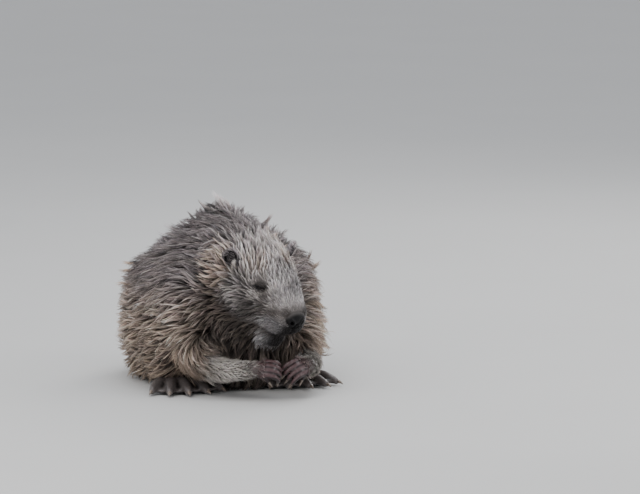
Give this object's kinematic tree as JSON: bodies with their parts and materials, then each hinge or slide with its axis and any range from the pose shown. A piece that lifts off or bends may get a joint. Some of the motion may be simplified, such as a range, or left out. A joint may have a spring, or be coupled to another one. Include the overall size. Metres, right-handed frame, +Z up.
{
  "type": "beaver",
  "caption": "Hunched beaver with a long clumped coat, its head turned aside and its hands held together under its chin, flat paddle tail laid on the floor.",
  "frame": {"origin": "the middle of the bounding box seen from above, on the floor the animal rests on", "axes": "the body faces -Y with its tail towards +Y and its own left towards +X, and +Z is up"},
  "size_m": [0.3272, 0.7268, 0.2882],
  "materials": {
    "coat": "damp grey-brown fur in pointed clumps, tan at the tips",
    "face": "short grey-brown fur",
    "skin": "bare dark purplish-brown skin",
    "tail": "bare dark scaly skin",
    "eye": "wet and black",
    "claw": "horn, paler at the tips"
  },
  "bodies": {
    "root": {"claw_fore_left_1": "claw", "claw_fore_left_2": "claw", "claw_fore_left_3": "claw", "claw_fore_left_4": "claw", "claw_fore_left_5": "claw", "claw_fore_right_1": "claw", "claw_fore_right_2": "claw", "claw_fore_right_3": "claw", "claw_fore_right_4": "claw", "claw_fore_right_5": "claw", "claw_hind_left_1": "claw", "claw_hind_left_2": "claw", "claw_hind_left_3": "claw", "claw_hind_left_4": "claw", "claw_hind_left_5": "claw", "claw_hind_right_1": "claw", "claw_hind_right_2": "claw", "claw_hind_right_3": "claw", "claw_hind_right_4": "claw", "claw_hind_right_5": "claw", "ear_left": "coat", "ear_right": "coat", "eye_left": "eye", "eye_right": "eye", "foreleg_left": "coat", "foreleg_right": "coat", "forepaw_left": "skin", "forepaw_right": "skin", "head": "face", "hindfoot_left": "skin", "hindfoot_right": "skin", "hindleg_left": "coat", "hindleg_right": "coat", "neck": "coat", "tail": "tail", "trunk": "coat"}
  },
  "joints": []
}
